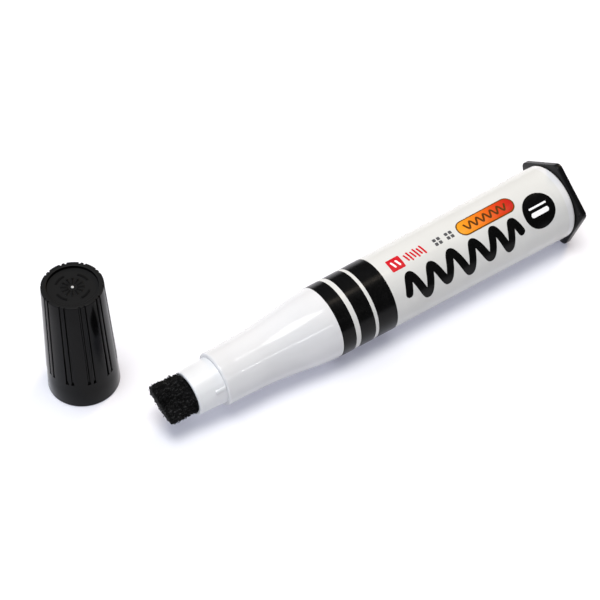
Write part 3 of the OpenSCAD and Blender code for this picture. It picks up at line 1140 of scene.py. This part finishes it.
def plug_flange():
    """Points and faces of the flange: rounded edges, a shallow dish behind and a small boss."""
    back_x = TAIL_X + PLUG_T
    bevel = [math.radians(90 * k / 4) for k in range(5)]
    rows = []
    for a in bevel:
        x = TAIL_X + PLUG_BEVEL * (1 - math.cos(a))
        rows.append([(x, y, z) for y, z in pentagon(PLUG_BEVEL * (1 - math.sin(a)))])
    for a in bevel:
        x = back_x - PLUG_BEVEL * (1 - math.sin(a))
        rows.append([(x, y, z) for y, z in pentagon(PLUG_BEVEL * (1 - math.cos(a)))])
    rim = pentagon(PLUG_BEVEL)
    for depth, r in (
        (0.0, DISH_R),
        (0.12, DISH_R - 0.15),
        (DISH_D, DISH_R - 0.25),
        (DISH_D, GATE_R),
        (0.3, GATE_R - 0.1),
        (0.3, 0.9),
        (0.12, 0.8),
        (0.12, 0.0),
    ):
        x = back_x - depth
        rows.append([(x, r * y / math.hypot(y, z), r * z / math.hypot(y, z)) for y, z in rim])
    points = [p for row in rows for p in row]
    faces = grid_faces(len(rows), len(rim), 0, False, True)
    middle = len(points)
    points.append((TAIL_X, 0, 0))
    faces += [(middle, j, (j + 1) % len(rim)) for j in range(len(rim))]
    return points, faces


def make_plug():
    """The flange, the spigot pressed into the barrel and the spacer that holds the reservoir."""
    shape = Shape()
    shape.add(*plug_flange())
    root_x = TAIL_X + ROOT_SINK
    spigot_x = TAIL_X - SPIGOT_LEN
    spigot = [
        (spigot_x, SPIGOT_R - SPIGOT_CHAMFER),
        (spigot_x + SPIGOT_LEAD, SPIGOT_R),
        (root_x, SPIGOT_R),
        (root_x, SPIGOT_R - SPIGOT_WALL),
        (spigot_x, SPIGOT_R - SPIGOT_WALL),
    ]
    shape.lathe(spigot, SPIGOT_COLUMNS)
    spacer = [
        (SPACER_X, SPACER_R - SPACER_WALL),
        (SPACER_X, SPACER_R),
        (root_x, SPACER_R),
        (root_x, SPACER_R - SPACER_WALL),
    ]
    shape.lathe(spacer, SPACER_COLUMNS)
    black = plastic("plug_black", rgb(8, 8, 9), rgb(12, 12, 13), 0.3, 0.2)
    piece = make_object("tail_plug", shape.points, shape.faces, MARKER, black)
    finish_piece(piece, "marker", "plug_black", "end_plug")


# Cap


def groove_depth(angle, radius, half):
    """Share of a grip groove's depth at an angle in degrees, for a groove twice as wide as half."""
    period = 360 / GRIP_N
    off = (angle - GRIP_PHASE + period / 2) % period - period / 2
    from_groove = abs(abs(off) - GROOVE_HALF_ANGLE) * math.radians(1) * radius
    return ease((half + GROOVE_SOFT - from_groove) / (2 * GROOVE_SOFT))


def cap_outer(h):
    """Outside radius of the cone that the skirt follows."""
    return CAP_MOUTH_R + (CAP_TOP_R - GRIP_PROUD - CAP_MOUTH_R) * h / CAP_H


def cap_reach(along, radius, angle):
    """The cap's outside above its skirt, with the grooves and the pockets at their feet."""
    if radius < RECESS_R + 0.3 or along <= SKIRT_H + 0.001:
        return radius
    degrees = math.degrees(angle)
    cut = GROOVE_D * groove_depth(degrees, radius, GROOVE_W / 2)
    above = along - SKIRT_H - POCKET_R
    if abs(above) < POCKET_R + GROOVE_SOFT:
        half = math.sqrt(max(POCKET_R**2 - above**2, 0.01))
        cut = max(cut, POCKET_D * groove_depth(degrees, radius, half))
    return radius - cut


def make_cap():
    skirt_r = cap_outer(SKIRT_H)
    grip_r = skirt_r + GRIP_PROUD
    outline = arc(CAP_FOOT, CAP_MOUTH_R - CAP_FOOT, CAP_FOOT, 180, 90, 4)
    outline += [
        (SKIRT_H - 3, cap_outer(SKIRT_H - 3)),
        (SKIRT_H - 0.05, cap_outer(SKIRT_H - 0.05)),
        (SKIRT_H, skirt_r),
        (SKIRT_H + 0.005, grip_r - 0.04),
    ]
    heights = [SKIRT_H + 0.05 + POCKET_R * 0.25 * i for i in range(9)]
    heights += [SKIRT_H + 1.1, 16, 24, 32]
    slope = (CAP_TOP_R - grip_r) / (CAP_H - SKIRT_H)
    outline += [(h, grip_r + slope * (h - SKIRT_H)) for h in heights]
    outline += arc(CAP_H - CAP_EDGE, CAP_TOP_R - CAP_EDGE, CAP_EDGE, 90, 0, 5)
    outline += arc(CAP_H - RECESS_EDGE, RECESS_R + RECESS_EDGE, RECESS_EDGE, 0, -90, 4)
    outline += [(CAP_H - RECESS_D, r) for r in (RECESS_R, 5.0, 2.5, 0.0)]
    outline += [
        (CAVITY_H, 0.0),
        (CAVITY_H, CAVITY_TOP_R),
        (CAP_BORE_H, CAVITY_LOW_R),
        (CAP_BORE_H, CAP_BORE_R),
        (CAP_FOOT, CAP_BORE_R),
        (0.0, CAP_BORE_R + CAP_FOOT),
    ]
    shape = Shape()
    shape.lathe(outline, CAP_COLUMNS, cap_reach)
    add_top_relief(shape)
    # Its third colour is the painted sheen of the satin top
    black = cap_plastic("cap_black", rgb(5, 5, 5), rgb(8, 8, 8), rgb(21, 21, 21))
    piece = make_object("cap_body", shape.upright().points, shape.faces, CAP, black, crease=40)
    finish_piece(piece, "cap", "cap_black", "cap_shell")


def cap_plastic(name, dark, light, painted_light):
    """Glossy black that turns satin on the recessed top and its rim, painted lighter there as a
    painted sheen, while the relief keeps the darkest black as painted shade.
    """
    m = Nodes(name)
    x, y, z = m.split()
    radius = m.length(x, y)
    floor_h = CAP_H - RECESS_D
    inside = m.ramp(radius, (RECESS_R - 0.2) * MM, (RECESS_R - 0.05) * MM, 1.0, 0.0)
    above = m.ramp(z, (floor_h - 0.2) * MM, (floor_h - 0.1) * MM)
    rim = m.ramp(z, (CAP_H - 0.08) * MM, (CAP_H - 0.02) * MM)
    satin = m.math("MAXIMUM", m.math("MULTIPLY", inside, above), rim)
    raised = m.ramp(z, (floor_h + 0.04) * MM, (floor_h + 0.1) * MM)
    relief = m.math("MULTIPLY", raised, inside)
    base = m.mix(m.ramp(m.noise(700), 0.4, 0.6), dark, light)
    # Satin top and rim lightened: painted sheen; the relief left darkest: painted shade
    base = m.mix(m.math("SUBTRACT", satin, relief), base, painted_light)
    m.set(Base_Color=m.mix(relief, base, dark))
    m.set(Roughness=m.ramp(satin, 0.0, 1.0, 0.14, 0.45))
    m.set(Specular_IOR_Level=0.1)
    m.bump(m.noise(1800), 0.3, 0.00001)
    return m.material


def add_top_relief(shape):
    """Spokes and four arcs on the recessed top, plain in form."""
    floor_h = CAP_H - RECESS_D
    root, top = floor_h - 0.2, floor_h + RELIEF_H
    for k in range(SPOKE_N):
        turn = 360 / SPOKE_N * k
        low = (root, SPOKE_FROM, -SPOKE_W / 2)
        shape.box(low, (top, SPOKE_TO, SPOKE_W / 2), turn, SPOKE_BEVEL)
        shape.stud(root, top, SPOKE_TO, STUD_R, turn)
    foot = floor_h - 0.1
    profile = (
        (foot, ARC_FROM_R),
        (top, ARC_FROM_R + ARC_BEVEL),
        (top, ARC_TO_R - ARC_BEVEL),
        (foot, ARC_TO_R),
    )
    for k in range(ARC_N):
        start = 360 / ARC_N * k
        angles = [math.radians(start + ARC_STEP_DEG * i) for i in range(ARC_STEPS + 1)]
        points = [(h, r * math.cos(a), r * math.sin(a)) for a in angles for h, r in profile]
        faces = grid_faces(len(angles), len(profile), 0, False, True)
        faces += [(0, 1, 2, 3), tuple(len(points) - i for i in (1, 2, 3, 4))]
        shape.add(points, faces)


def make_gate():
    """The pale mark where the moulding was cut from its runner: stress-whitened plastic with a
    painted highlight on its small dome.
    """
    floor_h = CAP_H - RECESS_D
    shape = Shape()
    outline = [
        (floor_h - 0.1, 0.0),
        (floor_h - 0.1, 0.42),
        (floor_h + 0.14, 0.38),
        (floor_h + 0.2, 0.3),
        (floor_h + 0.18, 0.0),
    ]
    shape.lathe(outline, 32)
    m = Nodes("gate_scar_and_painted_glint")
    # Pale grey to near white: stress whitening and a painted highlight
    torn = m.ramp(m.noise(2500), 0.4, 0.6)
    m.set(Base_Color=m.mix(torn, rgb(150, 150, 150), rgb(225, 225, 222)), Roughness=0.5)
    piece = make_object("cap_gate", shape.upright().points, shape.faces, CAP, m.material)
    finish_piece(piece, "cap", "cap_black")


# Pieces whose CAD shape stays as it is


def dress_cad(node, material):
    """A CAD node that stays visible as it is, with a material of its own."""
    piece = frame["nodes"][node]
    piece.data.materials.clear()
    piece.data.materials.append(material)


def dress_inner_pieces():
    liner = plastic("liner_natural", rgb(206, 208, 206), rgb(216, 218, 216), 0.45, 0.4)
    fibre = felt_material("reservoir_fibre", rgb(20, 20, 23), rgb(44, 44, 48), rgb(70, 70, 76))
    wrap = plastic("wrap_film", rgb(190, 192, 196), rgb(204, 206, 210), 0.2, 0.5)
    dress_cad("cap_liner", liner)
    dress_cad("ink_reservoir", fibre)
    dress_cad("reservoir_wrap", wrap)


# Stage


def make_stage():
    """The floor, the room and the lamps."""
    mesh = bpy.data.meshes.new("floor")
    corners = [(x * FLOOR_HALF, y * FLOOR_HALF, 0) for x, y in ((-1, -1), (1, -1), (1, 1), (-1, 1))]
    mesh.from_pydata(corners, [], [(0, 1, 2, 3)])
    mesh.materials.append(floor_material())
    floor = bpy.data.objects.new("floor", mesh)
    bpy.context.scene.collection.objects.link(floor)
    make_world()
    for light in LIGHTS:
        area_light(*light)
    bpy.context.scene.view_settings.view_transform = "Standard"


make_camera()
make_stage()
make_barrel()
make_film()
make_prints()
make_neck()
make_felt()
make_plug()
make_cap()
make_gate()
dress_inner_pieces()
